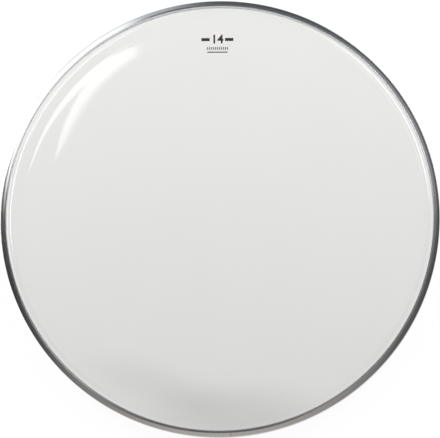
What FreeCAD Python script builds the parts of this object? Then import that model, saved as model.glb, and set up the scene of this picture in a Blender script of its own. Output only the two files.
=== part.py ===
import FreeCAD, Part
import math
import os

import Sketcher

# Drum head for a 14 inch drum. A clear polyester film is thermoformed with a collar and a
# folded edge, and that edge is cast with resin into a rolled aluminium channel, the flesh hoop.
# Millimetres. +Z points out of the playing face and +Y at the size mark printed on it.
# The origin is the middle of the plane that the outer wall of the hoop stands on.

SIZES = {
    # the drum that the head goes over
    "shell_diameter": 355.6,
    "shell_clearance": 2.2,
    # film: one ply from the playing face down to the locking flange
    "film_thickness": 0.25,
    "collar_rise": 9.0,
    "collar_run": 4.2,
    "collar_drop": 4.2,
    "collar_bend": 3.5,
    "fold_lift": 0.3,
    "flange_headroom": 1.2,
    "lock_slot_length": 12.0,
    "lock_slot_height": 2.0,
    "lock_slot_count": 36,
    # flesh hoop: a channel that is closed above and open below
    "hoop_height": 8.0,
    "hoop_wall": 1.0,
    "channel_width": 2.8,
    "outer_corner": 1.5,
    "inner_bevel": 1.0,
    "inner_rim_gap": 0.35,
    # butt weld that closes the hoop, and its bearing in degrees from +X
    "seam_width": 0.5,
    "weld_recess": 0.12,
    "seam_bearing": -87.1,
    # how far a cut runs past the face that it opens
    "overrun": 0.4,
}

doc = FreeCAD.newDocument("drum_head")
sheet = doc.addObject("Spreadsheet::Sheet", "sizes")
for row, (alias, number) in enumerate(SIZES.items(), start=1):
    sheet.set(f"A{row}", alias.replace("_", " "))
    sheet.set(f"B{row}", str(number))
    sheet.setAlias(f"B{row}", alias)
doc.recompute()

# Radii of the walls, from the drum shell outwards
SKIRT_INSIDE = "(sizes.shell_diameter / 2 + sizes.shell_clearance)"
SKIRT_OUTSIDE = f"({SKIRT_INSIDE} + sizes.film_thickness)"
CHANNEL_INSIDE = f"({SKIRT_OUTSIDE} + sizes.hoop_wall)"
FLANGE_INSIDE = f"({CHANNEL_INSIDE} + (sizes.channel_width - sizes.film_thickness) / 2)"
FLANGE_OUTSIDE = f"({FLANGE_INSIDE} + sizes.film_thickness)"
CHANNEL_OUTSIDE = f"({CHANNEL_INSIDE} + sizes.channel_width)"
HOOP_OUTSIDE = f"({CHANNEL_OUTSIDE} + sizes.hoop_wall)"

# Heights from the plane that the hoop stands on
FOLD_INSIDE = "(sizes.fold_lift + sizes.film_thickness)"
INNER_RIM = f"({FOLD_INSIDE} + sizes.inner_rim_gap)"
CHANNEL_TOP = "(sizes.hoop_height - sizes.hoop_wall)"
FLANGE_TOP = f"({CHANNEL_TOP} - sizes.flange_headroom)"
LOCK_SLOT_BOTTOM = f"(({INNER_RIM} + {FLANGE_TOP} - sizes.lock_slot_height) / 2)"
PLAYING_FACE = "(sizes.hoop_height + sizes.collar_rise)"
PLAYING_FACE_UNDERSIDE = f"({PLAYING_FACE} - sizes.film_thickness)"

# The collar's slope, and how far its two corners shift from the film's upper side to its lower
COLLAR_SLOPE = "atan(sizes.collar_drop / sizes.collar_run)"
COLLAR_SHIFT = f"(sizes.film_thickness * tan({COLLAR_SLOPE} / 2))"
SHOULDER_SHIFT = f"(sizes.film_thickness * tan((90 deg - {COLLAR_SLOPE}) / 2))"
COLLAR_EDGE = f"({SKIRT_OUTSIDE} - sizes.collar_run)"
SHOULDER = f"({PLAYING_FACE} - sizes.collar_drop)"

NOTHING = "0"

# The index by which a sketch knows its own two axes
HORIZONTAL_INDEX = -1
VERTICAL_INDEX = -2


def current(expression):
    """The number that an expression on the sheet's cells gives now."""
    return float(sheet.evalExpression(expression))


def origin_feature(body, role):
    return next(item for item in body.Origin.OriginFeatures if item.Role == role)


def new_body(label):
    body = doc.addObject("PartDesign::Body", label)
    body.Label = label
    return body


def new_sketch(body, name, plane):
    sketch = body.newObject("Sketcher::SketchObject", name)
    sketch.AttachmentSupport = [(origin_feature(body, plane), "")]
    sketch.MapMode = "FlatFace"
    return sketch


def bind(sketch, expression, kind, *geometry):
    """Add a dimension to a sketch and bind it to the sheet."""
    index = sketch.addConstraint(Sketcher.Constraint(kind, *geometry, current(expression)))
    sketch.setExpression(f"Constraints[{index}]", expression)


def pin(sketch, geometry, end, across, up):
    """Fix a point of a sketch by its distances from the two axes."""
    for distance, kind, axis in ((across, "DistanceX", VERTICAL_INDEX), (up, "DistanceY", HORIZONTAL_INDEX)):
        if distance == NOTHING:
            sketch.addConstraint(Sketcher.Constraint("PointOnObject", geometry, end, axis))
        else:
            bind(sketch, distance, kind, HORIZONTAL_INDEX, 1, geometry, end)


def draw_section(body, name, corners):
    """A closed half section on the body's XZ plane, fully constrained.

    The corners run anticlockwise as (radius, height, bend), where all three are expressions and
    bend is None at a sharp corner.
    """
    sketch = new_sketch(body, name, "XZ_Plane")
    normal = FreeCAD.Vector(0, 0, 1)
    points = [FreeCAD.Vector(current(radius), current(height), 0) for radius, height, bend in corners]
    following = points[1:] + points[:1]
    along = [(end - start).normalize() for start, end in zip(points, following)]

    # how far each bend's ends stand back from its corner
    setback = []
    for i, (radius, height, bend) in enumerate(corners):
        half_turn = along[i - 1].getAngle(along[i]) / 2
        setback.append(current(bend) * math.tan(half_turn) if bend else 0)

    edges = []
    for i, (start, end) in enumerate(zip(points, following)):
        edge_start = start + along[i] * setback[i]
        edge_end = end - along[i] * setback[(i + 1) % len(points)]
        edges.append(sketch.addGeometry(Part.LineSegment(edge_start, edge_end)))

    for i, (radius, height, bend) in enumerate(corners):
        before, after = edges[i - 1], edges[i]
        if bend is None:
            sketch.addConstraint(Sketcher.Constraint("Coincident", before, 2, after, 1))
            pin(sketch, after, 1, radius, height)
            continue
        arc_from = points[i] - along[i - 1] * setback[i]
        arc_to = points[i] + along[i] * setback[i]
        turns_left = along[i - 1].cross(along[i]).z > 0
        inwards = normal.cross(along[i - 1]) * (1 if turns_left else -1)
        circle = Part.Circle(arc_from + inwards * current(bend), normal, current(bend))
        first, last = (arc_from, arc_to) if turns_left else (arc_to, arc_from)
        arc = sketch.addGeometry(Part.ArcOfCircle(circle, circle.parameter(first), circle.parameter(last)))
        near, far = (1, 2) if turns_left else (2, 1)
        sketch.addConstraint(Sketcher.Constraint("Tangent", before, 2, arc, near))
        sketch.addConstraint(Sketcher.Constraint("Tangent", arc, far, after, 1))
        bind(sketch, bend, "Radius", arc)
        corner = sketch.addGeometry(Part.Point(points[i]), True)
        pin(sketch, corner, 1, radius, height)
        sketch.addConstraint(Sketcher.Constraint("PointOnObject", corner, 1, before))
        sketch.addConstraint(Sketcher.Constraint("PointOnObject", corner, 1, after))
    return sketch


def revolve(body, sketch, name, angle="360", backwards=False):
    """Turn a half section about Z by an angle in degrees."""
    ring = body.newObject("PartDesign::Revolution", name)
    ring.Profile = sketch
    ring.ReferenceAxis = (sketch, ["V_Axis"])
    ring.Reversed = backwards
    ring.setExpression("Angle", angle)
    return ring


# Film: under the playing face outwards, down the skirt, round the fold, up the locking flange
# in the channel, and back over the top
film = new_body("drum_film")
film_section = draw_section(film, "film_section", [
    (NOTHING, PLAYING_FACE_UNDERSIDE, None),
    (f"{COLLAR_EDGE} - {COLLAR_SHIFT}", PLAYING_FACE_UNDERSIDE, "sizes.collar_bend - sizes.film_thickness"),
    (SKIRT_INSIDE, f"{SHOULDER} - {SHOULDER_SHIFT}", None),
    (SKIRT_INSIDE, "sizes.fold_lift", None),
    (FLANGE_OUTSIDE, "sizes.fold_lift", None),
    (FLANGE_OUTSIDE, FLANGE_TOP, None),
    (FLANGE_INSIDE, FLANGE_TOP, None),
    (FLANGE_INSIDE, FOLD_INSIDE, None),
    (SKIRT_OUTSIDE, FOLD_INSIDE, None),
    (SKIRT_OUTSIDE, SHOULDER, None),
    (COLLAR_EDGE, PLAYING_FACE, "sizes.collar_bend"),
    (NOTHING, PLAYING_FACE, None),
])
formed_film = revolve(film, film_section, "formed_film")

# One locking slot, punched outwards from inside the fold, so that the skirt stays whole
slot_outline = new_sketch(film, "lock_slot_outline", "YZ_Plane")
slot_outline.setExpression("AttachmentOffset.Base.z", CHANNEL_INSIDE)
half_slot = current("sizes.lock_slot_length / 2")
slot_bottom = current(LOCK_SLOT_BOTTOM)
slot_top = slot_bottom + current("sizes.lock_slot_height")
slot_corners = [
    FreeCAD.Vector(-half_slot, slot_bottom, 0),
    FreeCAD.Vector(half_slot, slot_bottom, 0),
    FreeCAD.Vector(half_slot, slot_top, 0),
    FreeCAD.Vector(-half_slot, slot_top, 0),
]
bottom, right, top, left = [
    slot_outline.addGeometry(Part.LineSegment(start, end))
    for start, end in zip(slot_corners, slot_corners[1:] + slot_corners[:1])
]
for edge, following_edge in ((bottom, right), (right, top), (top, left), (left, bottom)):
    slot_outline.addConstraint(Sketcher.Constraint("Coincident", edge, 2, following_edge, 1))
for edge in (right, left):
    slot_outline.addConstraint(Sketcher.Constraint("Vertical", edge))
slot_outline.addConstraint(Sketcher.Constraint("Horizontal", top))
slot_outline.addConstraint(Sketcher.Constraint("Symmetric", bottom, 1, bottom, 2, VERTICAL_INDEX))
bind(slot_outline, "sizes.lock_slot_length", "DistanceX", bottom, 1, bottom, 2)
bind(slot_outline, "sizes.lock_slot_height", "DistanceY", right, 1, right, 2)
bind(slot_outline, LOCK_SLOT_BOTTOM, "DistanceY", HORIZONTAL_INDEX, 1, bottom, 1)
lock_slot = film.newObject("PartDesign::Pocket", "lock_slot")
lock_slot.Profile = slot_outline
lock_slot.Reversed = True
lock_slot.setExpression("Length", f"{FLANGE_OUTSIDE} - {CHANNEL_INSIDE} + sizes.overrun")
lock_slots = film.newObject("PartDesign::PolarPattern", "lock_slots")
lock_slots.Originals = [lock_slot]
lock_slots.Axis = (origin_feature(film, "Z_Axis"), [""])
lock_slots.Angle = 360
lock_slots.setExpression("Occurrences", "sizes.lock_slot_count")
film.Tip = lock_slots

# Flesh hoop: the channel's section, turned almost full circle. The weld fills what is left.
SEAM_ANGLE = f"(sizes.seam_width / {HOOP_OUTSIDE} * 180 / pi)"


def channel_section(body, name, recess):
    """The channel, drawn back by a recess on the sides that are polished."""
    outside = f"({HOOP_OUTSIDE} - {recess})"
    top = f"(sizes.hoop_height - {recess})"
    return draw_section(body, name, [
        (outside, NOTHING, None),
        (outside, top, "sizes.outer_corner"),
        (f"{SKIRT_OUTSIDE} + sizes.inner_bevel", top, None),
        (SKIRT_OUTSIDE, f"{top} - sizes.inner_bevel", None),
        (SKIRT_OUTSIDE, INNER_RIM, None),
        (CHANNEL_INSIDE, INNER_RIM, None),
        (CHANNEL_INSIDE, CHANNEL_TOP, None),
        (CHANNEL_OUTSIDE, CHANNEL_TOP, None),
        (CHANNEL_OUTSIDE, NOTHING, None),
    ])


hoop = new_body("flesh_hoop")
revolve(hoop, channel_section(hoop, "hoop_section", NOTHING), "rolled_channel", f"360 - {SEAM_ANGLE}")
weld = new_body("hoop_seam_weld")
weld_section = channel_section(weld, "weld_section", "sizes.weld_recess")
revolve(weld, weld_section, "weld_bead", SEAM_ANGLE, backwards=True)
for ring in (hoop, weld):
    ring.setExpression("Placement.Rotation.Angle", "sizes.seam_bearing")

# Resin: what the channel holds round the film, poured with the head upside down to the level of
# the inner rim. Air stays trapped between that rim and the fold.
pour = new_body("resin_pour")
pour_section = draw_section(pour, "pour_section", [
    (CHANNEL_INSIDE, INNER_RIM, None),
    (CHANNEL_OUTSIDE, INNER_RIM, None),
    (CHANNEL_OUTSIDE, CHANNEL_TOP, None),
    (CHANNEL_INSIDE, CHANNEL_TOP, None),
])
revolve(pour, pour_section, "poured_ring")
resin = doc.addObject("Part::Cut", "casting_resin")
resin.Label = "casting_resin"
resin.Base = pour
resin.Tool = film

doc.recompute()

for item in doc.Objects:
    if "Invalid" in item.State or "Error" in item.State:
        raise RuntimeError(f"{item.Name} failed: {item.State}")
if film.Shape.Volume >= formed_film.Shape.Volume:
    raise RuntimeError("the locking slots cut nothing")

os.makedirs("parts", exist_ok=True)
for node in (film, hoop, weld, resin):
    if node.Shape.isNull() or not node.Shape.isValid():
        raise RuntimeError(f"{node.Label} has no valid shape")
    node.Shape.exportStep(f"parts/{node.Label}.step")
    print(node.Label, len(node.Shape.Solids), "solid,", round(node.Shape.Volume), "mm3")
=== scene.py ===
import math

import bmesh
import bpy
from mathutils import Matrix, Vector


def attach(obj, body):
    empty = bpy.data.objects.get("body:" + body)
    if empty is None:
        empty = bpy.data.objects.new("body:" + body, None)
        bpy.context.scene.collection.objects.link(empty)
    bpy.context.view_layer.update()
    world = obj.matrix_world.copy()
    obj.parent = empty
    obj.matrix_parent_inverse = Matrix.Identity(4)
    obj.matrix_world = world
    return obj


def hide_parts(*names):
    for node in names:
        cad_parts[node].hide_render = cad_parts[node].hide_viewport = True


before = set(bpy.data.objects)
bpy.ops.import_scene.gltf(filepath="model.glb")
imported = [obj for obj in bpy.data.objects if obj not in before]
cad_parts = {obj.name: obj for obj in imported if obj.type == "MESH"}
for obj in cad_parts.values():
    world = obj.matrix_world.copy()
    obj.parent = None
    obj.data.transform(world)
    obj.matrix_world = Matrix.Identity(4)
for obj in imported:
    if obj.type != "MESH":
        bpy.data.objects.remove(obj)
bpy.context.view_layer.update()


# Drum film: one sheet of clear polyester, drawn hot over a form to a playing face that eases
# down to a crease, a flat land, a collar at 45 degrees and a straight skirt. Its edge folds
# under the hoop's inner wall and stands in its channel, with slots that the resin locks into.

MM = 0.001

FACE_HEIGHT = 17.0
FILM_THICKNESS = 0.25
EASE_RADIUS = 130.0
EASE_POWER = 1.5
CREASE_RADIUS = 165.6
CREASE_SLOPE = math.radians(3.2)
LAND_SLOPE = math.radians(0.05)
FACE_RADII = [0, 40, 80, 108, 122, EASE_RADIUS, 134, 137, 140, 143, 146, 149, 152, 155, 158,
              160.5, 162.5, 164, 165.2, CREASE_RADIUS, 166.0, 166.8, 168.5, 172.6]
# The collar is straight, and radius plus height is the same all along it.
COLLAR_LINE = 193.05
COLLAR_BEND = 8.8
SHOULDER_RADIUS = 180.2
SHOULDER_HEIGHT = 12.8
SHOULDER_BEND = 2.5
SKIRT_HEIGHTS = (8.0, 3.0)
FOLD_HEIGHT = 0.55
FOLD_BEND = 0.3
FLANGE_RADIUS = 182.525
FLANGE_TOP = 5.8
SLOT_LOW, SLOT_HIGH = 2.35, 4.35
SLOT_COUNT = 36
FILM_STEPS = 576
SLOT_STEPS = 6
PUNCH_MARGIN = 0.1
FILM_BEND_STEP = 7.5
SOLVE_ROUNDS = 4
MERGE_DISTANCE = 1e-6

HAZE_SCALE, HAZE_GRAIN = 16.0, 0.25
HAZE_SPAN = (0.3, 0.7)
FACE_TONES = ((0.934, 0.933, 0.917), (0.942, 0.941, 0.925))
COLLAR_TONE = 0.93
COLLAR_FADE = (15.0 * MM, 16.1 * MM)
# Painted shade: the skirt down beside the hoop is given a darker tone than the face.
SKIRT_SHADE_TONE = 0.62
SKIRT_SHADE_FADE = (12.6 * MM, 13.8 * MM)
FILM_ROUGHNESS = (0.02, 0.035)
FILM_CLEARNESS = 0.95
FILM_IOR = 1.6


def face_fall(radius):
    """How far the playing face lies below its middle at a radius, in millimetres."""
    run = CREASE_RADIUS - EASE_RADIUS
    eased = max(0.0, min(radius, CREASE_RADIUS) - EASE_RADIUS) / run
    fall = CREASE_SLOPE * run * eased ** (EASE_POWER + 1) / (EASE_POWER + 1)
    return fall + LAND_SLOPE * max(0.0, radius - CREASE_RADIUS)


def bent_path(corners, step):
    """Points of a path through (radius, height, bend) corners, with an arc at each bend.

    The step is the largest turn, in degrees, from one point of an arc to the next.
    """
    points = [Vector(corners[0][:2])]
    for before, (radius, height, bend), after in zip(corners, corners[1:], corners[2:]):
        here = Vector((radius, height))
        if not bend:
            points.append(here)
            continue
        into = (here - Vector(before[:2])).normalized()
        out = (Vector(after[:2]) - here).normalized()
        turn = math.atan2(into.x * out.y - into.y * out.x, into.dot(out))
        start = here - into * bend * math.tan(abs(turn) / 2)
        side = Vector((-into.y, into.x)) * math.copysign(bend, turn)
        count = max(2, math.ceil(abs(math.degrees(turn)) / step))
        for i in range(count + 1):
            points.append(start + side + Matrix.Rotation(turn * i / count, 2) @ -side)
    points.append(Vector(corners[-1][:2]))
    return points


def shown(piece):
    """Put an object in the scene."""
    bpy.context.scene.collection.objects.link(piece)
    return piece


def section_object(name, points):
    """A piece that starts as its own section: (radius, height) points in millimetres."""
    mesh = bpy.data.meshes.new(name)
    mesh.from_pydata([(p[0] * MM, 0.0, p[1] * MM) for p in points],
                     [(i, i + 1) for i in range(len(points) - 1)], [])
    return shown(bpy.data.objects.new(name, mesh))


class Nodes:
    """Short forms for building one node tree."""

    # The colour sockets of a Mix node, whose names are the same for every kind of data.
    MIX_FIRST, MIX_SECOND, MIX_RESULT = 6, 7, 2

    def __init__(self, tree):
        self.tree = tree

    def join(self, value, socket):
        """Link another socket to an input, or set a plain value on it."""
        if isinstance(value, bpy.types.NodeSocket):
            self.tree.links.new(value, socket)
        else:
            socket.default_value = value

    def make(self, kind, inputs=None, **settings):
        """The outputs of a new node, whose inputs are given by name or by number."""
        node = self.tree.nodes.new(kind)
        for key, value in settings.items():
            setattr(node, key, value)
        for key, value in (inputs or {}).items():
            self.join(value, node.inputs[key])
        return node.outputs

    def calc(self, operation, *values):
        """One step of arithmetic on sockets and numbers."""
        return self.make("ShaderNodeMath", dict(enumerate(values)), operation=operation)[0]

    def spread(self, value, low, high, first, last, easing="SMOOTHSTEP"):
        """A value taken from one range to another, clamped at its ends."""
        numbers = dict(enumerate((value, low, high, first, last)))
        return self.make("ShaderNodeMapRange", numbers, interpolation_type=easing)["Result"]

    def mix(self, share, first, second):
        """One colour going over to another by a share."""
        colours = {"Factor": share, self.MIX_FIRST: first, self.MIX_SECOND: second}
        return self.make("ShaderNodeMix", colours, data_type="RGBA")[self.MIX_RESULT]

    def ramp(self, value, places, colours):
        """A colour ramp with one colour at each place."""
        node = self.tree.nodes.new("ShaderNodeValToRGB")
        elements = node.color_ramp.elements
        while len(elements) < len(places):
            elements.new(1.0)
        for element, place, colour in zip(elements, places, colours):
            element.position = place
            element.color = (*colour, 1.0)
        self.join(value, node.inputs["Fac"])
        return node.outputs["Color"]

    def bump(self, height, strength, distance):
        """The normal of a surface with a fine relief."""
        relief = {"Strength": strength, "Distance": distance, "Height": height}
        return self.make("ShaderNodeBump", relief)[0]

    def from_axis(self, across, up):
        """How far a place lies from the upright axis."""
        square = self.calc("ADD", self.calc("MULTIPLY", across, across),
                           self.calc("MULTIPLY", up, up))
        return self.calc("SQRT", square)


def node_tree(name, kind, inputs, outputs):
    """A node tree with named inputs and outputs, each with the kind of its socket."""
    tree = bpy.data.node_groups.new(name, kind)
    for way, sockets in (("INPUT", inputs), ("OUTPUT", outputs)):
        for label, socket in sockets.items():
            tree.interface.new_socket(label, in_out=way, socket_type="NodeSocket" + socket)
    return tree


def geometry_tree(name, sizes):
    """A Geometry Nodes tree with a mesh going in and out and named sizes."""
    mesh = {"Geometry": "Geometry"}
    return node_tree(name, "GeometryNodeTree", {**mesh, **sizes}, mesh)


def finish_tree(nodes, geometry, material):
    """The end of every tree: real geometry with its material."""
    real = nodes.make("GeometryNodeRealizeInstances", {"Geometry": geometry})["Geometry"]
    painted = nodes.make("GeometryNodeSetMaterial", {"Geometry": real, "Material": material})
    nodes.make("NodeGroupOutput", {"Geometry": painted["Geometry"]})


def turned_tree():
    """A section turned about the upright axis, as on a lathe or a roll former."""
    tree = geometry_tree("turned_section", {"Start": "Float", "Sweep": "Float", "Steps": "Int",
                                            "Material": "Material"})
    nodes = Nodes(tree)
    given = nodes.make("NodeGroupInput")
    section = given["Geometry"]
    count = nodes.make("GeometryNodeAttributeDomainSize", {"Geometry": section}, component="MESH")
    rows = nodes.calc("ADD", given["Steps"], 1.0)
    grid = nodes.make("GeometryNodeMeshGrid",
                      {"Vertices X": count["Point Count"], "Vertices Y": rows})
    index = nodes.make("GeometryNodeInputIndex")[0]
    along = nodes.calc("FLOOR", nodes.calc("DIVIDE", index, rows))
    around = nodes.calc("DIVIDE", nodes.calc("MODULO", index, rows), given["Steps"])
    here = nodes.make("GeometryNodeInputPosition")[0]
    point = nodes.make("GeometryNodeSampleIndex",
                       {"Geometry": section, "Value": here, "Index": along},
                       data_type="FLOAT_VECTOR")
    radius, _, height = nodes.make("ShaderNodeSeparateXYZ", {0: point["Value"]})
    angle = nodes.calc("MULTIPLY_ADD", around, given["Sweep"], given["Start"])
    place = nodes.make("ShaderNodeCombineXYZ", {
        "X": nodes.calc("MULTIPLY", radius, nodes.calc("COSINE", angle)),
        "Y": nodes.calc("MULTIPLY", radius, nodes.calc("SINE", angle)),
        "Z": height})
    turned = nodes.make("GeometryNodeSetPosition",
                        {"Geometry": grid["Mesh"], "Position": place[0]})
    closed = nodes.make("GeometryNodeMergeByDistance",
                        {"Geometry": turned["Geometry"], "Distance": MERGE_DISTANCE})
    smooth = nodes.make("GeometryNodeSetShadeSmooth", {"Geometry": closed["Geometry"]})
    finish_tree(nodes, smooth["Geometry"], given["Material"])
    return tree


def film_tree(turned):
    """The formed sheet, with its row of lock slots punched through the flange."""
    tree = geometry_tree("formed_film", {
        "Steps": "Int", "Slot Count": "Int", "Slot Angle": "Float", "Slot Low": "Float",
        "Slot High": "Float", "Flange Radius": "Float", "Material": "Material"})
    nodes = Nodes(tree)
    given = nodes.make("NodeGroupInput")
    sheet = nodes.make("GeometryNodeGroup", {
        "Geometry": given["Geometry"], "Start": 0.0, "Sweep": math.tau, "Steps": given["Steps"],
        "Material": given["Material"]}, node_tree=turned)
    here = nodes.make("GeometryNodeInputPosition")[0]
    across, up, height = nodes.make("ShaderNodeSeparateXYZ", {0: here})
    radius = nodes.from_axis(across, up)
    pitch = nodes.calc("DIVIDE", math.tau, given["Slot Count"])
    turn = nodes.calc("PINGPONG", nodes.calc("ARCTAN2", up, across),
                      nodes.calc("MULTIPLY", pitch, 0.5))
    in_slot = nodes.calc("LESS_THAN", turn, nodes.calc("MULTIPLY", given["Slot Angle"], 0.5))
    for test in (nodes.calc("GREATER_THAN", radius, given["Flange Radius"]),
                 nodes.calc("GREATER_THAN", height, given["Slot Low"]),
                 nodes.calc("LESS_THAN", height, given["Slot High"])):
        in_slot = nodes.calc("MULTIPLY", in_slot, test)
    punched = nodes.make("GeometryNodeDeleteGeometry",
                         {"Geometry": sheet["Geometry"], "Selection": in_slot}, domain="FACE")
    finish_tree(nodes, punched["Geometry"], given["Material"])
    return tree


def run_tree(piece, tree, **sizes):
    """Put a tree on a piece, with its inputs given by name."""
    modifier = piece.modifiers.new(tree.name, "NODES")
    modifier.node_group = tree
    for item in tree.interface.items_tree:
        key = item.name.replace(" ", "_").lower()
        if item.in_out == "INPUT" and key in sizes:
            modifier[item.identifier] = sizes[key]


def thicken(piece, name, thickness):
    """Give a surface a thickness in millimetres, behind its faces."""
    wall = piece.modifiers.new(name, "SOLIDIFY")
    wall.thickness = thickness * MM
    wall.offset = -1.0


def settle(piece):
    """Turn a piece and its modifiers into one plain mesh."""
    depsgraph = bpy.context.evaluated_depsgraph_get()
    mesh = bpy.data.meshes.new_from_object(piece.evaluated_get(depsgraph))
    piece.modifiers.clear()
    piece.data = mesh
    mesh.name = piece.name


def mottle_group(cloud_detail=3.0, grain_detail=2.0, grain_fineness=14.0, grain_middle=0.5):
    """Soft cloudy patches broken up by a finer grain, for haze, ink, metal and resin."""
    tree = node_tree("mottle", "ShaderNodeTree",
                     {"Vector": "Vector", "Scale": "Float", "Grain": "Float"}, {"Mask": "Float"})
    nodes = Nodes(tree)
    given = nodes.make("NodeGroupInput")
    cloud = nodes.make("ShaderNodeTexNoise", {
        "Vector": given["Vector"], "Scale": given["Scale"], "Detail": cloud_detail})[0]
    grain = nodes.make("ShaderNodeTexNoise", {
        "Vector": given["Vector"], "Detail": grain_detail,
        "Scale": nodes.calc("MULTIPLY", given["Scale"], grain_fineness)})[0]
    fine = nodes.calc("MULTIPLY", nodes.calc("SUBTRACT", grain, grain_middle), given["Grain"])
    mask = nodes.make("ShaderNodeMath", {0: cloud, 1: fine}, operation="ADD", use_clamp=True)
    nodes.make("NodeGroupOutput", {"Mask": mask[0]})
    return tree


def ring_group():
    """A point's distance from the upright axis, its bearing and its height."""
    tree = node_tree("ring_place", "ShaderNodeTree", {"Vector": "Vector"},
                     {"Radius": "Float", "Bearing": "Float", "Height": "Float"})
    nodes = Nodes(tree)
    place = nodes.make("NodeGroupInput")["Vector"]
    across, up, height = nodes.make("ShaderNodeSeparateXYZ", {0: place})
    nodes.make("NodeGroupOutput", {"Radius": nodes.from_axis(across, up),
                                   "Bearing": nodes.calc("ARCTAN2", up, across),
                                   "Height": height})
    return tree


MOTTLE = mottle_group()
RING_PLACE = ring_group()


def mottled(nodes, place, scale, grain):
    """The mottle's mask, placed in a material with its own scale and grain."""
    return nodes.make("ShaderNodeGroup", {"Vector": place, "Scale": scale, "Grain": grain},
                      node_tree=MOTTLE)["Mask"]


def ring_place(nodes, place):
    """The radius, bearing and height of a place, in a material."""
    return nodes.make("ShaderNodeGroup", {"Vector": place}, node_tree=RING_PLACE)


def grey(level):
    """An even grey of one level."""
    return (level, level, level, 1.0)


def new_material(name):
    """A node material: its tree's tools, its Principled inputs and its Object coordinates."""
    material = bpy.data.materials.new(name)
    material.use_nodes = True
    nodes = Nodes(material.node_tree)
    shader = material.node_tree.nodes["Principled BSDF"].inputs
    return material, nodes, shader, nodes.make("ShaderNodeTexCoord")["Object"]


def film_material():
    """Clear film with a faint haze, a touch greyer on the collar, with painted shade on the skirt.
    """
    material, nodes, shader, place = new_material("clear_film")
    haze = mottled(nodes, place, HAZE_SCALE, HAZE_GRAIN)
    height = ring_place(nodes, place)["Height"]
    face = nodes.ramp(haze, HAZE_SPAN, FACE_TONES)
    on_collar = nodes.spread(height, *COLLAR_FADE, 1.0, 0.0)
    # Below the collar the tone goes over to the skirt's painted shade.
    skirt_shade = nodes.spread(height, *SKIRT_SHADE_FADE, 1.0, 0.0)
    drawn = nodes.mix(on_collar, face, grey(COLLAR_TONE))
    nodes.join(nodes.mix(skirt_shade, drawn, grey(SKIRT_SHADE_TONE)), shader["Base Color"])
    nodes.join(nodes.spread(haze, *HAZE_SPAN, *FILM_ROUGHNESS), shader["Roughness"])
    shader["Transmission Weight"].default_value = FILM_CLEARNESS
    shader["IOR"].default_value = FILM_IOR
    return material


collar_edge = COLLAR_LINE - FACE_HEIGHT
for _ in range(SOLVE_ROUNDS):
    collar_edge = COLLAR_LINE - FACE_HEIGHT + face_fall(collar_edge)
film_corners = [(radius, FACE_HEIGHT - face_fall(radius), 0) for radius in FACE_RADII]
film_corners += [
    (collar_edge, FACE_HEIGHT - face_fall(collar_edge), COLLAR_BEND),
    (SHOULDER_RADIUS, SHOULDER_HEIGHT, SHOULDER_BEND)]
film_corners += [(SHOULDER_RADIUS, height, 0) for height in SKIRT_HEIGHTS]
film_corners += [
    (SHOULDER_RADIUS, FOLD_HEIGHT, FOLD_BEND), (FLANGE_RADIUS, FOLD_HEIGHT, FOLD_BEND)]
film_corners += [(FLANGE_RADIUS, height, 0) for height in (SLOT_LOW, SLOT_HIGH, FLANGE_TOP)]

TURNED = turned_tree()
film = section_object("film", bent_path(film_corners, FILM_BEND_STEP))
run_tree(film, film_tree(TURNED), steps=FILM_STEPS, slot_count=SLOT_COUNT,
         slot_angle=math.tau * SLOT_STEPS / FILM_STEPS, slot_low=SLOT_LOW * MM,
         slot_high=SLOT_HIGH * MM, flange_radius=(FLANGE_RADIUS - PUNCH_MARGIN) * MM,
         material=film_material())
thicken(film, "film_wall", FILM_THICKNESS)
settle(film)
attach(film, "root")
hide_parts("drum_film")


# Size mark: one dark ink, screened on the playing face near its edge. It gives the head's
# size in inches between two bars, with a row of ticks and a rule under it.

MARK_CENTRE = (-1.5, 147.5)
MARK_LIFT = 0.012
INK_THICKNESS = 0.02
NUMERAL_HEIGHT = 10.5
NUMERAL_WEIGHT = 0.22
NUMERAL_CURVE_STEPS = 6
NUMERAL_RISE = 3.0
BAR_PLACES, BAR_SIZE = (-10.0, 10.0), (7.0, 2.6)
RULE_RISE, RULE_SIZE = -7.8, (17.0, 0.9)
TICK_COUNT, TICK_PITCH = 11, 1.7
TICK_RISE, TICK_SIZE = -4.6, (0.75, 2.4)

INK_SCALE, INK_GRAIN = 220.0, 0.6
INK_SPAN, INK_TONES = (0.25, 0.75), ((0.020, 0.014, 0.012), (0.050, 0.036, 0.030))
INK_ROUGH_SPAN, INK_ROUGHNESS = (0.2, 0.8), (0.35, 0.55)


def ink_material():
    """Dark brown screen ink, laid on a little unevenly."""
    material, nodes, shader, place = new_material("mark_ink")
    cover = mottled(nodes, place, INK_SCALE, INK_GRAIN)
    nodes.join(nodes.ramp(cover, INK_SPAN, INK_TONES), shader["Base Color"])
    nodes.join(nodes.spread(cover, *INK_ROUGH_SPAN, *INK_ROUGHNESS), shader["Roughness"])
    return material


def bar_outline(x, y, size):
    """A bar's four corners about its centre."""
    half, rise = size[0] / 2, size[1] / 2
    return [(x - half, y - rise), (x + half, y - rise), (x + half, y + rise), (x - half, y + rise)]


def numeral_mesh(text):
    """The flat mesh of a numeral, centred on the origin, in millimetres."""
    numeral = bpy.data.curves.new("size_numeral", "FONT")
    numeral.body = text
    numeral.size = NUMERAL_HEIGHT
    numeral.align_x = "CENTER"
    numeral.align_y = "CENTER"
    numeral.offset = NUMERAL_WEIGHT
    numeral.resolution_u = NUMERAL_CURVE_STEPS
    lettering = shown(bpy.data.objects.new("size_numeral", numeral))
    depsgraph = bpy.context.evaluated_depsgraph_get()
    mesh = bpy.data.meshes.new_from_object(lettering.evaluated_get(depsgraph))
    bpy.data.objects.remove(lettering)
    return mesh


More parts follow.
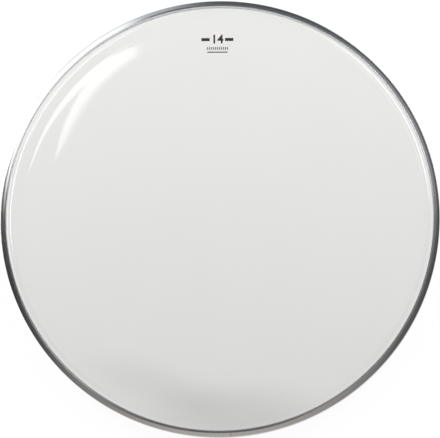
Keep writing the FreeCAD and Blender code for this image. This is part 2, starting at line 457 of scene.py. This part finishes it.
mark_mesh = bmesh.new()
mark_mesh.from_mesh(numeral_mesh("14"))
bmesh.ops.translate(mark_mesh, verts=mark_mesh.verts, vec=(0.0, NUMERAL_RISE, 0.0))
bars = [bar_outline(x, NUMERAL_RISE, BAR_SIZE) for x in BAR_PLACES]
bars.append(bar_outline(0.0, RULE_RISE, RULE_SIZE))
first_tick = -TICK_PITCH * (TICK_COUNT - 1) / 2
bars += [bar_outline(first_tick + TICK_PITCH * i, TICK_RISE, TICK_SIZE) for i in range(TICK_COUNT)]
for bar in bars:
    mark_mesh.faces.new([mark_mesh.verts.new((x, y, 0.0)) for x, y in bar])
bmesh.ops.triangulate(mark_mesh, faces=mark_mesh.faces)
bmesh.ops.recalc_face_normals(mark_mesh, faces=mark_mesh.faces)
for face in mark_mesh.faces:
    if face.normal.z < 0:
        face.normal_flip()
for vert in mark_mesh.verts:
    x, y = vert.co.x + MARK_CENTRE[0], vert.co.y + MARK_CENTRE[1]
    height = FACE_HEIGHT - face_fall(math.hypot(x, y)) + MARK_LIFT + INK_THICKNESS
    vert.co = (x * MM, y * MM, height * MM)
mark_data = bpy.data.meshes.new("size_mark")
mark_mesh.to_mesh(mark_data)
mark_mesh.free()
mark_data.materials.append(ink_material())
mark = shown(bpy.data.objects.new("size_mark", mark_data))
thicken(mark, "ink_layer", INK_THICKNESS)
settle(mark)
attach(mark, "root")


# Flesh hoop: the channel that carries the film, aluminium strip rolled to a crowned U section,
# bent to a ring and closed by one weld. Its crown is polished lengthwise, so its fine lines go
# round, its outer wall is left satin, and its inner wall behind the film is painted dark as shade.

HOOP_INNER, HOOP_OUTER = 180.25, 185.05
HOOP_TOP = 8.0
CHANNEL_INNER, CHANNEL_OUTER = 181.25, 184.05
CHANNEL_TOP = 7.0
CHANNEL_CORNER = 0.3
INNER_RIM = 0.9
WALL_MIDDLE = 4.0
CROWN_START = math.radians(5.2)
CROWN_END = math.radians(13.5)
CROWN_STEPS = 12
CROWN_CORNER = 0.3
INNER_CORNER = 0.12
RIM_CORNER = 0.2
SEAM_BEARING = math.radians(-87.1)
SEAM_WIDTH = 0.5
HOOP_STEPS = 576
HOOP_BEND_STEP = 15
SHARP_EDGE = math.radians(35)

LINES_ACROSS, LINES_ALONG, LINE_DETAIL = 9000.0, 6.0, 4.0
LINE_RELIEF, LINE_DEPTH = 0.08, 0.05 * MM
BRIGHT_SCALE, BRIGHT_GRAIN = 60.0, 0.4
BRIGHT_SPAN, BRIGHT_TONES = (0.25, 0.75), ((0.80, 0.81, 0.82), (0.87, 0.875, 0.88))
POLISH_ROUGHNESS, POLISH_VARIATION = 0.06, 0.08
# Painted shade: the inner wall behind the film is dark, rough and not metal.
INNER_SHADE_EDGE = (180.26 * MM, 180.34 * MM)
INNER_SHADE_TONE, INNER_SHADE_ROUGHNESS = (0.05, 0.05, 0.052, 1.0), 0.5
SATIN_EDGE = (184.90 * MM, 185.00 * MM)
SATIN_TONE, SATIN_ROUGHNESS = (0.46, 0.462, 0.465, 1.0), 0.14


def hoop_material():
    """Polished aluminium with fine lines round it, a satin outside and painted shade on the inside.
    """
    material, nodes, shader, place = new_material("polished_hoop")
    ring = ring_place(nodes, place)
    lines = nodes.make("ShaderNodeCombineXYZ", {
        "X": nodes.calc("MULTIPLY", ring["Radius"], LINES_ACROSS),
        "Y": nodes.calc("MULTIPLY", ring["Height"], LINES_ACROSS),
        "Z": nodes.calc("MULTIPLY", ring["Bearing"], LINES_ALONG)})[0]
    grain = nodes.make("ShaderNodeTexNoise",
                       {"Vector": lines, "Scale": 1.0, "Detail": LINE_DETAIL})[0]
    bright = nodes.ramp(mottled(nodes, place, BRIGHT_SCALE, BRIGHT_GRAIN), BRIGHT_SPAN,
                        BRIGHT_TONES)
    # Painted shade on the inner wall behind the film.
    inner_shade = nodes.spread(ring["Radius"], *INNER_SHADE_EDGE, 1.0, 0.0)
    satin = nodes.spread(ring["Radius"], *SATIN_EDGE, 0.0, 1.0)
    inside = nodes.mix(inner_shade, bright, INNER_SHADE_TONE)
    nodes.join(nodes.mix(satin, inside, SATIN_TONE), shader["Base Color"])
    polish = nodes.calc("MULTIPLY_ADD", grain, POLISH_VARIATION, POLISH_ROUGHNESS)
    finish = nodes.calc("MULTIPLY_ADD", satin, SATIN_ROUGHNESS, polish)
    nodes.join(nodes.calc("MULTIPLY_ADD", inner_shade, INNER_SHADE_ROUGHNESS, finish), shader["Roughness"])
    nodes.join(nodes.calc("SUBTRACT", 1.0, inner_shade), shader["Metallic"])
    nodes.join(nodes.bump(grain, LINE_RELIEF, LINE_DEPTH), shader["Normal"])
    return material


def hoop_section(inset):
    """The crowned U section, all the way round its metal, drawn in by an inset."""
    inner, outer = HOOP_INNER + inset, HOOP_OUTER - inset
    channel_inner, channel_outer = CHANNEL_INNER - inset, CHANNEL_OUTER + inset
    top, channel_top, rim = HOOP_TOP - inset, CHANNEL_TOP + inset, INNER_RIM + inset
    crown_radius = (outer - inner) / (math.sin(CROWN_END) - math.sin(CROWN_START))
    corners = [(inner, WALL_MIDDLE, 0), (inner, top, INNER_CORNER)]
    for i in range(1, CROWN_STEPS):
        slope = CROWN_START + (CROWN_END - CROWN_START) * i / CROWN_STEPS
        corners.append((inner + crown_radius * (math.sin(slope) - math.sin(CROWN_START)),
                        top - crown_radius * (math.cos(CROWN_START) - math.cos(slope)), 0))
    edge = top - crown_radius * (math.cos(CROWN_START) - math.cos(CROWN_END))
    corners += [
        (outer, edge, CROWN_CORNER), (outer, WALL_MIDDLE, 0),
        (outer, inset, RIM_CORNER), (channel_outer, inset, RIM_CORNER),
        (channel_outer, channel_top, CHANNEL_CORNER), (channel_inner, channel_top, CHANNEL_CORNER),
        (channel_inner, rim, RIM_CORNER), (inner, rim, RIM_CORNER), (inner, WALL_MIDDLE, 0)]
    return bent_path(corners, HOOP_BEND_STEP)


def bent_strip(name, inset, start, sweep, steps, material):
    """A length of the section bent to the ring, with its two ends closed."""
    strip = section_object(name, hoop_section(inset))
    run_tree(strip, TURNED, start=start, sweep=sweep, steps=steps, material=material)
    settle(strip)
    ends = bmesh.new()
    ends.from_mesh(strip.data)
    bmesh.ops.holes_fill(ends, edges=[e for e in ends.edges if e.is_boundary], sides=0)
    bmesh.ops.recalc_face_normals(ends, faces=ends.faces)
    ends.to_mesh(strip.data)
    ends.free()
    strip.data.set_sharp_from_angle(angle=SHARP_EDGE)
    return strip


seam_turn = SEAM_WIDTH / HOOP_OUTER
hoop = bent_strip("flesh_hoop_ring", 0.0, SEAM_BEARING + seam_turn / 2, math.tau - seam_turn,
                  HOOP_STEPS, hoop_material())
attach(hoop, "root")
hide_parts("flesh_hoop")


# Hoop seam weld: the bead that closes the hoop, aluminium run into the joint and ground back
# just below the hoop's face. It stays dull and a little burnt.

BEAD_INSET = 0.05
BEAD_STEPS = 4
BEAD_SCALE, BEAD_GRAIN = 900.0, 0.8
BEAD_SPAN, BEAD_TONES = (0.3, 0.7), ((0.40, 0.395, 0.39), (0.54, 0.53, 0.52))
BEAD_ROUGH_SPAN, BEAD_ROUGHNESS = (0.2, 0.8), (0.4, 0.65)
BEAD_RELIEF, BEAD_DEPTH = 0.3, 0.1 * MM


def weld_material():
    """Dull ground aluminium, burnt in patches."""
    material, nodes, shader, place = new_material("ground_weld")
    burnt = mottled(nodes, place, BEAD_SCALE, BEAD_GRAIN)
    nodes.join(nodes.ramp(burnt, BEAD_SPAN, BEAD_TONES), shader["Base Color"])
    nodes.join(nodes.spread(burnt, *BEAD_ROUGH_SPAN, *BEAD_ROUGHNESS), shader["Roughness"])
    nodes.join(nodes.bump(burnt, BEAD_RELIEF, BEAD_DEPTH), shader["Normal"])
    shader["Metallic"].default_value = 1.0
    return material


bead = bent_strip("seam_weld_bead", BEAD_INSET, SEAM_BEARING - seam_turn / 2, seam_turn,
                  BEAD_STEPS, weld_material())
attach(bead, "root")
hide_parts("hoop_seam_weld")


# Casting resin: clear amber epoxy, poured into the upturned channel round the film's flange.
# It sets level with the inner wall's rim, with a few bubbles, and locks the film by its slots.

RESIN_SCALE, RESIN_GRAIN = 120.0, 0.3
RESIN_SPAN, RESIN_TONES = (0.25, 0.75), ((0.50, 0.36, 0.16), (0.68, 0.54, 0.30))
RESIN_ROUGH_SPAN, RESIN_ROUGHNESS = (0.2, 0.8), (0.12, 0.3)
BUBBLE_SCALE, BUBBLE_EDGE = 700.0, (0.1, 0.3)
BUBBLE_RELIEF, BUBBLE_DEPTH = 0.25, 0.2 * MM
RESIN_IOR = 1.55
RESIN_GLOSS, RESIN_GLOSS_ROUGHNESS = 0.5, 0.08


def resin_material():
    """Glossy amber resin, cloudy and pitted with small bubbles."""
    material, nodes, shader, place = new_material("amber_resin")
    cloudy = mottled(nodes, place, RESIN_SCALE, RESIN_GRAIN)
    nodes.join(nodes.ramp(cloudy, RESIN_SPAN, RESIN_TONES), shader["Base Color"])
    nodes.join(nodes.spread(cloudy, *RESIN_ROUGH_SPAN, *RESIN_ROUGHNESS), shader["Roughness"])
    bubbles = nodes.make("ShaderNodeTexVoronoi", {"Vector": place, "Scale": BUBBLE_SCALE})
    pits = nodes.spread(bubbles["Distance"], *BUBBLE_EDGE, 0.0, 1.0)
    nodes.join(nodes.bump(pits, BUBBLE_RELIEF, BUBBLE_DEPTH), shader["Normal"])
    shader["IOR"].default_value = RESIN_IOR
    shader["Coat Weight"].default_value = RESIN_GLOSS
    shader["Coat Roughness"].default_value = RESIN_GLOSS_ROUGHNESS
    return material


resin_finish = bpy.data.objects["casting_resin"].data.materials
resin_finish.clear()
resin_finish.append(resin_material())


# Studio: a white floor, even in the open and with painted shade beneath the film, and soft
# light from the far side. The polished metal and the film's gloss see a dim room with one big
# soft box over the far left corner.

ELEVATION = math.radians(82.0)
AZIMUTH = math.radians(18.0)
to_camera = Vector((math.sin(AZIMUTH) * math.cos(ELEVATION),
                    -math.cos(AZIMUTH) * math.cos(ELEVATION), math.sin(ELEVATION)))

FLOOR_HALF = 8.0
FLOOR_DROP = 0.0002
FLOOR_TONE, FLOOR_FAINT_TONE = 0.8, 0.08
OPEN_LEVEL = 0.95
BENEATH_EDGE = (0.1785, 0.1805)
# Painted shade beneath the film: floor levels from the near side to the far side, lighter to the
# sides.
PAINTED_UNDER_LEVELS = (0.775, 0.967)
UNDER_REACH = 0.17
PAINTED_UNDER_SIDES = 0.01
# Each soft painted shadow under the film: its centre, turn in degrees, half lengths and depth.
PAINTED_SHADES = [((0.0129, -0.1675), 0.0, (0.100, 0.0360), 0.125),
          ((-0.0545, -0.1410), -18.0, (0.080, 0.0235), 0.075)]
PAINTED_SHADE_EDGE = (0.15, 1.05)


def painted_floor_level(nodes):
    """How bright the floor is: even in the open, and with painted shade beneath, darker to the near
    side.
    """
    place = nodes.make("ShaderNodeTexCoord")["Object"]
    across, up, _ = nodes.make("ShaderNodeSeparateXYZ", {0: place})
    under = nodes.spread(up, -UNDER_REACH, UNDER_REACH, *PAINTED_UNDER_LEVELS, easing="LINEAR")
    aside = nodes.calc("DIVIDE", across, UNDER_REACH)
    under = nodes.calc("MULTIPLY_ADD", nodes.calc("MULTIPLY", aside, aside), PAINTED_UNDER_SIDES, under)
    # Each pass lays one soft painted shadow on the floor under the film.
    for centre, turn, size, depth in PAINTED_SHADES:
        laid = nodes.make("ShaderNodeMapping", {
            "Vector": place, "Location": (*centre, 0.0), "Scale": (*size, 1.0),
            "Rotation": (0.0, 0.0, math.radians(turn))}, vector_type="TEXTURE")[0]
        dark = nodes.spread(ring_place(nodes, laid)["Radius"], *PAINTED_SHADE_EDGE, 1.0, 0.0)
        under = nodes.calc("MULTIPLY_ADD", dark, -depth, under)
    beneath = nodes.spread(ring_place(nodes, place)["Radius"], *BENEATH_EDGE, 1.0, 0.0)
    return nodes.calc("MULTIPLY_ADD", beneath, nodes.calc("SUBTRACT", under, OPEN_LEVEL),
                      OPEN_LEVEL)


def floor_material():
    """White with painted shade under the film for eye and reflections, grey for other light, open
    below.
    """
    material = bpy.data.materials.new("white_floor")
    material.use_nodes = True
    nodes = Nodes(material.node_tree)
    nodes.tree.nodes.remove(nodes.tree.nodes["Principled BSDF"])
    rays = nodes.make("ShaderNodeLightPath")
    seen = nodes.calc("MAXIMUM", rays["Is Camera Ray"],
                      nodes.calc("MAXIMUM", rays["Is Glossy Ray"], rays["Is Transmission Ray"]))
    lit = nodes.make("ShaderNodeBsdfDiffuse", {"Color": grey(FLOOR_TONE)})[0]
    faint = nodes.make("ShaderNodeBsdfDiffuse", {"Color": grey(FLOOR_FAINT_TONE)})[0]
    glow = nodes.make("ShaderNodeEmission", {"Strength": painted_floor_level(nodes)})[0]
    white = nodes.make("ShaderNodeAddShader", {0: faint, 1: glow})[0]
    top = nodes.make("ShaderNodeMixShader", {0: seen, 1: lit, 2: white})[0]
    below = nodes.make("ShaderNodeNewGeometry")["Backfacing"]
    clear = nodes.make("ShaderNodeBsdfTransparent")[0]
    one_sided = nodes.make("ShaderNodeMixShader", {0: below, 1: top, 2: clear})[0]
    nodes.join(one_sided, nodes.tree.nodes["Material Output"].inputs["Surface"])
    return material


floor_mesh = bpy.data.meshes.new("floor")
floor_mesh.from_pydata([(x * FLOOR_HALF, y * FLOOR_HALF, -FLOOR_DROP)
                        for x, y in ((-1, -1), (1, -1), (1, 1), (-1, 1))], [], [(0, 1, 2, 3)])
floor_mesh.materials.append(floor_material())
floor = shown(bpy.data.objects.new("floor", floor_mesh))

room = bpy.data.worlds.new("studio")
bpy.context.scene.world = room
room.use_nodes = True
sky = Nodes(room.node_tree)
heading = sky.make("ShaderNodeTexCoord")["Generated"]


def reach(axis):
    """How far the heading of a ray goes along an axis."""
    return sky.make("ShaderNodeVectorMath", {0: heading, 1: axis},
                    operation="DOT_PRODUCT")["Value"]


def band(value, ends):
    """One inside a range of a value, with soft ends: its start, full, fade and end."""
    start, full, fade, end = ends
    return sky.calc("MULTIPLY", sky.spread(value, start, full, 0.0, 1.0),
                    sky.spread(value, fade, end, 1.0, 0.0))


# Places in the room are given in degrees: the tilt away from what a level mirror shows the
# camera, and the bearing round it, from the right through the far side.
HALF_TURN, FULL_TURN = 180.0, 360.0
NEAR_SIDE = -90.0
mirror = Vector((-to_camera.x, -to_camera.y, to_camera.z))
side = (Vector((1, 0, 0)) - mirror * mirror.x).normalized()
rise = mirror.cross(side)
tilt = sky.calc("MULTIPLY", sky.calc("ARCCOSINE", reach(mirror)), HALF_TURN / math.pi)
bearing = sky.calc("MULTIPLY", sky.calc("ARCTAN2", reach(rise), reach(side)), HALF_TURN / math.pi)
bearing = sky.calc("WRAP", bearing, NEAR_SIDE + FULL_TURN, NEAR_SIDE)
turn_share = sky.calc("DIVIDE", sky.calc("SUBTRACT", bearing, NEAR_SIDE), FULL_TURN)

WARMTH = 0.06
HIGH_WALLS = [(-90, 0.57), (-75, 0.54), (-55, 0.34), (-35, 0.16), (-15, 0.16), (0, 0.26),
              (25, 0.36), (50, 0.32), (75, 0.20), (95, 0.16), (104, 0.50), (154, 0.40),
              (168, 0.13), (195, 0.10), (215, 0.14), (240, 0.32), (260, 0.54), (270, 0.57)]
LOW_WALLS = [(-90, 0.42), (-75, 0.38), (-55, 0.26), (-35, 0.10), (-15, 0.07), (0, 0.08),
             (25, 0.14), (50, 0.11), (75, 0.09), (95, 0.11), (104, 0.50), (154, 0.40),
             (168, 0.10), (195, 0.04), (215, 0.08), (240, 0.28), (260, 0.42), (270, 0.42)]
WALLS_FADE = (11.0, 24.0)
GAP_LEVEL, GAP_FADE = 0.08, (13.5, 16.5)
GAP_WIDENINGS = [((94.0, 100.0, 112.0, 122.0), 4.0), ((146.0, 162.0, 178.0, 190.0), 4.0),
                 ((226.0, 242.0, 280.0, 290.0), 3.0), ((-110.0, -100.0, -76.0, -62.0), 3.0)]
GLOW_LEVEL, GLOW_FADE = 2.3, (12.5, 15.0)
GLOW_SHARES = [((0.0, 18.0, 48.0, 72.0), 1.0), ((195.0, 213.0, 230.0, 250.0), 0.45),
               ((-74.0, -56.0, -14.0, 6.0), 0.13)]
RAIL_LEVEL = 0.36
RAIL_BEARINGS, RAIL_TILTS = (-4.0, 10.0, 44.0, 60.0), (17.5, 19.5, 20.5, 22.5)
CEILING_LEVEL, CEILING_FADE = 0.3, (9.4, 10.6)
COVE_LEVEL, COVE_FADE = 0.62, (54.0, 68.0)


def round_room(levels):
    """Grey levels of the room by bearing, a little warm on the near side and cool on the far."""
    places, colours = [], []
    for degrees, level in levels:
        cool = WARMTH * math.sin(math.radians(degrees))
        places.append((degrees - NEAR_SIDE) / FULL_TURN)
        colours.append((level * (1 - cool), level, level * (1 + cool)))
    return sky.ramp(turn_share, places, colours)


view = sky.mix(sky.spread(tilt, *WALLS_FADE, 0.0, 1.0), round_room(HIGH_WALLS),
               round_room(LOW_WALLS))
gap_tilt = tilt
for ends, widening in GAP_WIDENINGS:
    gap_tilt = sky.calc("MULTIPLY_ADD", band(bearing, ends), -widening, gap_tilt)
view = sky.mix(sky.spread(gap_tilt, *GAP_FADE, 0.0, 1.0), grey(GAP_LEVEL), view)
glow = 0.0
for ends, share in GLOW_SHARES:
    glow = sky.calc("MULTIPLY_ADD", band(bearing, ends), share, glow)
glow = sky.calc("MULTIPLY", glow, sky.spread(tilt, *GLOW_FADE, 1.0, 0.0))
view = sky.mix(glow, view, grey(GLOW_LEVEL))
rail = sky.calc("MULTIPLY", band(bearing, RAIL_BEARINGS), band(tilt, RAIL_TILTS))
view = sky.mix(rail, view, grey(RAIL_LEVEL))
view = sky.mix(sky.spread(tilt, *CEILING_FADE, 0.0, 1.0), grey(CEILING_LEVEL), view)
view = sky.mix(sky.spread(tilt, *COVE_FADE, 0.0, 1.0), view, grey(COVE_LEVEL))

# The bright panels are a strip on the right, a strip on the left and a window. Each has its
# level, its bearings, its tilts, and how its tilt leans with the bearing.
PANELS = [(3.2, (2.0, 16.0, 48.0, 72.0), (38.0, 43.0, 52.0, 58.0), (25.0, 60.0, 0.0, 8.0)),
          (2.0, (118.0, 134.0, 176.0, 190.0), (54.0, 60.0, 70.0, 78.0), (138.0, 184.0, 0.0, -20.0)),
          (4.6, (132.0, 146.0, 178.0, 192.0), (21.0, 24.0, 30.0, 34.0), (146.0, 188.0, 0.0, -13.0))]
for level, bearings, tilts, lean in PANELS:
    leaned = sky.calc("ADD", tilt, sky.spread(bearing, *lean))
    view = sky.mix(sky.calc("MULTIPLY", band(bearing, bearings), band(leaned, tilts)), view,
                   grey(level))

# The soft box has a start and an end by bearing, which shift with the tilt, a slanting lead,
# light that falls off to its foot, and a thin boom that crosses it.
BOX_LEVEL, BOX_FOOT_LEVEL = 2.3, 1.32
BOX_START, BOX_START_DRIFT = (113.5, 118.0), (9.0, 14.0, 0.0, 3.0)
BOX_NOTCH, BOX_NOTCH_DEPTH = (7.4, 8.2, 8.8, 9.4), 8.0
BOX_END, BOX_END_DRIFT = (163.0, 170.0), (8.0, 10.0, 0.0, 12.0)
BOX_END_TIP = (2.8, 4.6, 20.0, 0.0)
BOX_SWELL, BOX_SWELL_DEPTH = (13.5, 18.0, 20.5, 23.5), 18.5
BOX_LEAD_BEARING, BOX_LEAD_FADE = 118.0, 1.7
BOX_LEAD_SLOPE, BOX_LEAD_TILT = -0.055, 4.6
BOX_DEPTH, BOX_DEPTH_FADE = (120.0, 134.0, 9.0, 12.5), 4.0
BOX_DIMMING = (20.0, 26.0, 1.0, 0.84)
BOX_FOOT = (27.0, 33.0)
BOOM_BEARING, BOOM_FADE = 136.0, 0.15
BOOM_LOW_SLOPE, BOOM_LOW_TILT = -0.115, 6.6
BOOM_HIGH_SLOPE, BOOM_HIGH_TILT = 0.045, 6.85


def past_line(from_bearing, slope, from_tilt):
    """How far the tilt is past a line that starts at one place and slopes with the bearing."""
    line = sky.calc("MULTIPLY_ADD", sky.calc("SUBTRACT", bearing, from_bearing), slope, from_tilt)
    return sky.calc("SUBTRACT", tilt, line)


def product(shares):
    """Shares multiplied together."""
    result = shares[0]
    for share in shares[1:]:
        result = sky.calc("MULTIPLY", result, share)
    return result


box_start = sky.calc("ADD", bearing, sky.spread(tilt, *BOX_START_DRIFT))
box_start = sky.calc("MULTIPLY_ADD", band(tilt, BOX_NOTCH), -BOX_NOTCH_DEPTH, box_start)
box_end = sky.calc("ADD", bearing, sky.spread(tilt, *BOX_END_TIP))
box_end = sky.calc("ADD", box_end, sky.spread(tilt, *BOX_END_DRIFT))
box_end = sky.calc("MULTIPLY_ADD", band(tilt, BOX_SWELL), -BOX_SWELL_DEPTH, box_end)
past_lead = past_line(BOX_LEAD_BEARING, BOX_LEAD_SLOPE, BOX_LEAD_TILT)
past_low = past_line(BOOM_BEARING, BOOM_LOW_SLOPE, BOOM_LOW_TILT)
past_high = past_line(BOOM_BEARING, BOOM_HIGH_SLOPE, BOOM_HIGH_TILT)
boom = product([sky.spread(past_low, -BOOM_FADE, BOOM_FADE, 0.0, 1.0),
                sky.spread(past_high, -BOOM_FADE, BOOM_FADE, 1.0, 0.0)])
box = product([sky.spread(box_start, *BOX_START, 0.0, 1.0),
               sky.spread(box_end, *BOX_END, 1.0, 0.0),
               sky.spread(past_lead, 0.0, BOX_LEAD_FADE, 0.0, 1.0),
               sky.calc("SUBTRACT", 1.0, boom),
               sky.spread(tilt, *BOX_FOOT, 1.0, 0.0)])
past_depth = sky.calc("SUBTRACT", tilt, sky.spread(bearing, *BOX_DEPTH))
box_level = product([sky.spread(past_depth, 0.0, BOX_DEPTH_FADE, BOX_LEVEL, BOX_FOOT_LEVEL),
                     sky.spread(tilt, *BOX_DIMMING)])
view = sky.mix(box, view, box_level)

FILL_LEVEL = 0.3
rays = sky.make("ShaderNodeLightPath")
plain = sky.calc("MAXIMUM", rays["Is Camera Ray"], FILL_LEVEL)
mirrored = sky.calc("MAXIMUM", rays["Is Glossy Ray"], rays["Is Transmission Ray"])
sky.join(sky.mix(mirrored, plain, view), room.node_tree.nodes["Background"].inputs["Color"])

KEY_PLACE = Vector((1.0, 1.2, 0.7))
KEY_AIM = Vector((0.0, 0.0, 0.0))
KEY_SIZE = 0.6
KEY_POWER = 20.0
for name, way in (("key_right", 1), ("key_left", -1)):
    key = bpy.data.lights.new(name, "AREA")
    key.size = KEY_SIZE
    key.energy = KEY_POWER
    lamp = shown(bpy.data.objects.new(name, key))
    lamp.location = (way * KEY_PLACE.x, KEY_PLACE.y, KEY_PLACE.z)
    lamp.rotation_euler = (KEY_AIM - lamp.location).to_track_quat("-Z", "Y").to_euler()
    lamp.visible_camera = False
    lamp.visible_glossy = False
    lamp.visible_transmission = False


# Camera: a long lens almost straight above the playing face, turned so that the size mark
# is at the top and the hoop's seam at the foot.

CAMERA_DISTANCE = 4.5
LENS = 437.5
FAR_CLIP = 100.0
AIM = Vector((0.00025, -0.00075, 0.006))
camera = bpy.data.cameras.new("camera")
camera.lens = LENS
camera.clip_end = FAR_CLIP
camera_object = shown(bpy.data.objects.new("camera", camera))
right = Vector((0, 1, 0)).cross(to_camera).normalized()
above = to_camera.cross(right)
facing = Matrix((right, above, to_camera)).transposed().to_4x4()
camera_object.matrix_world = Matrix.Translation(AIM + to_camera * CAMERA_DISTANCE) @ facing
bpy.context.scene.camera = camera_object
bpy.context.scene.view_settings.view_transform = "Standard"
